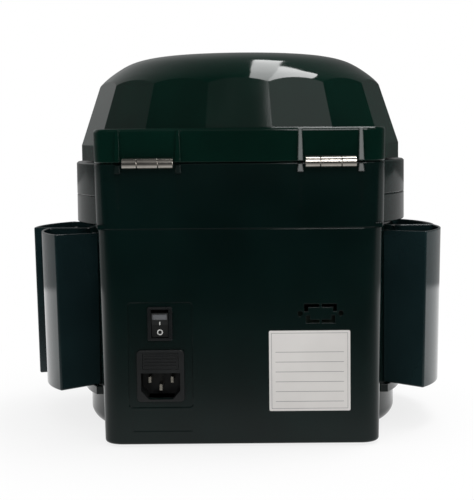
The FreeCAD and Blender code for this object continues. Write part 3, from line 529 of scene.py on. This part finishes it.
def pale_floor():
    """Pale board: for seen rays it is plain light, with a share of diffuse board near the machine that
    takes its shadow. The light is white for the camera. For the polish it steps from the table's to the
    floor's at the table's end, and is at most TOWARDS_LIGHT * TOWARDS_FALL ** (y - TOWARDS_FROM)."""
    material, tree, shader = shader_of("pale_floor")
    shader.inputs["Base Color"].default_value = (0.84, 0.84, 0.84, 1.0)
    shader.inputs["Roughness"].default_value = 0.9
    shader.inputs["Specular IOR Level"].default_value = 0.0
    place = tree.nodes.new("ShaderNodeTexCoord").outputs["Object"]
    reach = tree.nodes.new("ShaderNodeVectorMath")
    reach.operation = "LENGTH"
    parts = tree.nodes.new("ShaderNodeSeparateXYZ")
    tree.links.new(place, reach.inputs[0])
    tree.links.new(place, parts.inputs["Vector"])
    share = add(tree, "ShaderNodeMapRange", From_Min=SHADOW_NEAR, From_Max=SHADOW_FAR,
                To_Min=1.0 - SHADOW_SHARE, To_Max=1.0)
    share.interpolation_type = "SMOOTHSTEP"
    tree.links.new(reach.outputs["Value"], share.inputs["Value"])
    away = add(tree, "ShaderNodeMapRange", From_Min=TABLE_END, From_Max=FLOOR_START,
               To_Min=TABLE_LIGHT, To_Max=FLOOR_LIGHT)
    tree.links.new(reach.outputs["Value"], away.inputs["Value"])
    beyond = calc(tree, "SUBTRACT", parts.outputs["Y"], TOWARDS_FROM)
    towards = calc(tree, "MULTIPLY", calc(tree, "POWER", TOWARDS_FALL, beyond), TOWARDS_LIGHT)
    gloss = calc(tree, "MINIMUM", away.outputs["Result"], towards)
    camera_ray, seen = ray_kinds(tree)
    white = add(tree, "ShaderNodeEmission", Color=(1.0, 1.0, 1.0, 1.0))
    tree.links.new(calc(tree, "MAXIMUM", gloss, camera_ray), white.inputs["Strength"])
    mix = tree.nodes.new("ShaderNodeMixShader")
    tree.links.new(calc(tree, "MULTIPLY", share.outputs["Result"], seen), mix.inputs["Fac"])
    tree.links.new(shader.outputs["BSDF"], mix.inputs[1])
    tree.links.new(white.outputs["Emission"], mix.inputs[2])
    tree.links.new(mix.outputs["Shader"], tree.nodes["Material Output"].inputs["Surface"])
    return material


floor_mesh.materials.append(pale_floor())
SKY_LIGHT, LEAST_LIGHT = 0.80, 0.03
WALL_LIGHT, WALL_RISE, WALL_LEAN = 0.13, 0.07, 0.4
GLOW_LIGHT, GLOW_RISE = 1.1, 4.0
HIGH_LIGHT, HIGH_FROM = 0.6, 0.3


def studio_sky():
    """Sky of SKY_LIGHT for the light on the machine, and white for the camera. For the polish it is dim:
    with back = -y it is back * (WALL_LIGHT + WALL_RISE * up) * (1 + WALL_LEAN * x), plus a glow over
    back and +X that is strongest a little above the horizon, plus LEAST_LIGHT and a faint light high
    up behind the camera."""
    world = bpy.data.worlds.new("studio")
    world.use_nodes = True
    bpy.context.scene.world = world
    tree = world.node_tree
    tree.nodes.clear()
    way = tree.nodes.new("ShaderNodeTexCoord")
    parts = tree.nodes.new("ShaderNodeSeparateXYZ")
    tree.links.new(way.outputs["Generated"], parts.inputs["Vector"])
    up = calc(tree, "MAXIMUM", parts.outputs["Z"], 0.0)
    low = calc(tree, "SUBTRACT", 1.0, up)
    back = calc(tree, "MAXIMUM", calc(tree, "MULTIPLY", parts.outputs["Y"], -1.0), 0.0)
    plus_x = calc(tree, "MAXIMUM", parts.outputs["X"], 0.0)
    wall = calc(tree, "MULTIPLY", back, calc(tree, "MULTIPLY_ADD", up, WALL_RISE, WALL_LIGHT))
    rim = calc(tree, "MULTIPLY", wall, calc(tree, "MULTIPLY_ADD", parts.outputs["X"], WALL_LEAN, 1.0))
    above = calc(tree, "MULTIPLY", low, calc(tree, "MINIMUM", calc(tree, "MULTIPLY", up, GLOW_RISE), 1.0))
    corner = calc(tree, "MULTIPLY", calc(tree, "MULTIPLY", back, plus_x), GLOW_LIGHT)
    glow = calc(tree, "MULTIPLY", above, corner)
    facing = calc(tree, "MAXIMUM", parts.outputs["Y"], 0.0)
    high = calc(tree, "MAXIMUM", calc(tree, "SUBTRACT", parts.outputs["Z"], HIGH_FROM), 0.0)
    front = calc(tree, "MULTIPLY", calc(tree, "MULTIPLY", facing, facing), high)
    faint = calc(tree, "MULTIPLY_ADD", front, HIGH_LIGHT, LEAST_LIGHT)
    gloss = calc(tree, "ADD", calc(tree, "ADD", rim, glow), faint)
    camera_ray, seen = ray_kinds(tree)
    soft = add(tree, "ShaderNodeBackground", Color=(1.0, 1.0, 1.0, 1.0), Strength=SKY_LIGHT)
    backdrop = add(tree, "ShaderNodeBackground", Color=(1.0, 1.0, 1.0, 1.0))
    tree.links.new(calc(tree, "MAXIMUM", gloss, camera_ray), backdrop.inputs["Strength"])
    mix = tree.nodes.new("ShaderNodeMixShader")
    output = tree.nodes.new("ShaderNodeOutputWorld")
    tree.links.new(seen, mix.inputs["Fac"])
    tree.links.new(soft.outputs["Background"], mix.inputs[1])
    tree.links.new(backdrop.outputs["Background"], mix.inputs[2])
    tree.links.new(mix.outputs["Shader"], output.inputs["Surface"])


studio_sky()


def soft_lamp(name, place, aim, width, height, watts):
    """Rectangular lamp at place, facing the point aim. Places and sizes are in metres."""
    light = bpy.data.lights.new(name, "AREA")
    light.shape = "RECTANGLE"
    light.size = width
    light.size_y = height
    light.energy = watts
    lamp = bpy.data.objects.new(name, light)
    lamp.location = place
    lamp.rotation_euler = (Vector(aim) - Vector(place)).to_track_quat("-Z", "Y").to_euler()
    bpy.context.scene.collection.objects.link(lamp)


soft_lamp("window_lamp", place=(-0.179, -0.373, 1.34), aim=(-0.179, -0.373, 0.0),
          width=0.187, height=1.045, watts=3.4)
soft_lamp("skylight_lamp", place=(-0.454, -0.197, 1.34), aim=(-0.454, -0.197, 0.0),
          width=0.363, height=0.693, watts=6.4)
soft_lamp("side_lamp", place=(-0.86, 1.10, 1.15), aim=(0.0, 0.05, 0.15),
          width=1.30, height=0.60, watts=1.9)
soft_lamp("room_lamp", place=(-0.26, 2.24, 1.23), aim=(0.0, 0.10, 0.18),
          width=0.34, height=1.35, watts=6.4)

# Camera: behind the rear wall, a little to one side of its middle and above it, and dipped, rolled and
# turned a little. Distances are in metres, angles in degrees, lens and sensor in millimetres.
SENSOR_WIDTH, FOCAL_LENGTH = 36.0, 97.9
CAMERA_ASIDE, CAMERA_BEHIND, CAMERA_HEIGHT = -0.0062, 0.8362, 0.1971
CAMERA_DIP, CAMERA_ROLL, CAMERA_TURN = 5.04, 0.6, 180.5
lens = bpy.data.cameras.new("camera")
lens.sensor_width = SENSOR_WIDTH
lens.lens = FOCAL_LENGTH
camera = bpy.data.objects.new("camera", lens)
wall_low, wall_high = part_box("rear_housing")
wall_middle = (wall_low.x + wall_high.x) / 2
camera.location = (wall_middle + CAMERA_ASIDE, wall_high.y + CAMERA_BEHIND, CAMERA_HEIGHT)
camera_angles = (90.0 - CAMERA_DIP, CAMERA_ROLL, CAMERA_TURN)
camera.rotation_euler = [math.radians(angle) for angle in camera_angles]
bpy.context.scene.collection.objects.link(camera)
bpy.context.scene.camera = camera
bpy.context.scene.view_settings.view_transform = "Standard"
